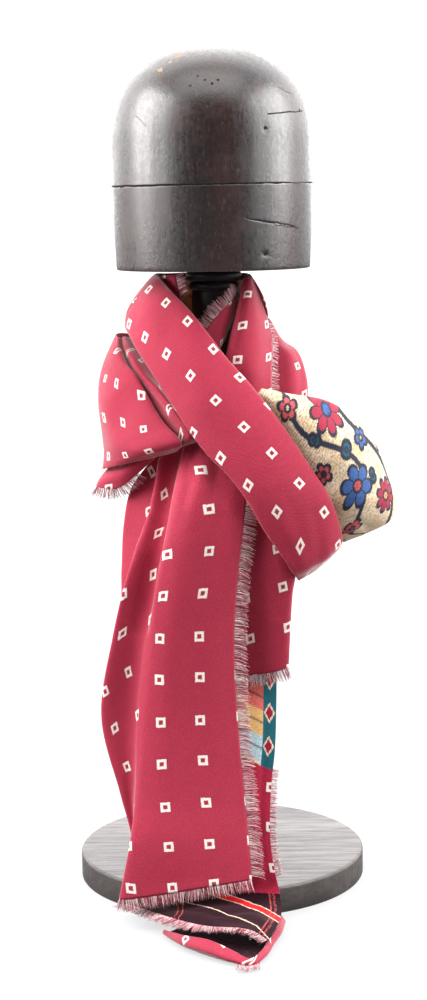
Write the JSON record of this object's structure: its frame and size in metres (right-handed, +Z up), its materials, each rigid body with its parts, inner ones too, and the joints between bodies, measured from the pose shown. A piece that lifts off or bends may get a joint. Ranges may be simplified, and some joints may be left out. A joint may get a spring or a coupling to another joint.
{
  "type": "cravat on hat-block stand",
  "caption": "Fringed two-faced scarf knotted as a cravat round the post of a wooden hat-block stand, its tails hanging to the round base, the patterned reverse showing at the knot.",
  "frame": {"origin": "centre of the round base's flat underside, on the surface that the stand stands on", "axes": "+Z up along the post, +X to the side where the patterned wing of the knot stands out, -Y to the front where the knot and the tails hang"},
  "size_m": [0.2923, 0.396, 0.763],
  "materials": {
    "hat_block_wood": "dark brown polished lacquer, worn",
    "base_wood": "dark grey-brown stain, satin, open grain",
    "crimson_twill": "soft crimson twill with small white squares",
    "patchwork_reverse": "woven patchwork reverse, flowers on cream with woven strips",
    "fringe_yarn": "frayed yarn, rose, white and burgundy"
  },
  "bodies": {
    "root": {"base": "base_wood", "post": "hat_block_wood", "hat_block": "hat_block_wood", "neck_wrap": "crimson_twill", "cross_band": "crimson_twill", "knot_back": "crimson_twill", "left_drape": "crimson_twill", "left_hem_flap": "crimson_twill", "left_hem_fringe": "fringe_yarn", "neck_left_strip": "crimson_twill", "neck_left_fringe": "fringe_yarn", "neck_right_strip": "crimson_twill", "neck_right_fringe": "fringe_yarn", "right_drape": "crimson_twill", "right_drape_fringe": "fringe_yarn", "right_shoulder": "crimson_twill", "patterned_wing": "patchwork_reverse", "front_tail": "crimson_twill", "front_side_fringe": "fringe_yarn", "front_hem_fringe": "fringe_yarn", "side_tail": "crimson_twill", "side_tail_fringe": "fringe_yarn", "under_tail": "patchwork_reverse", "under_side_fringe": "fringe_yarn", "under_hem_fringe": "fringe_yarn", "tail_tip": "crimson_twill", "tip_corner_fringe": "fringe_yarn"}
  },
  "joints": []
}
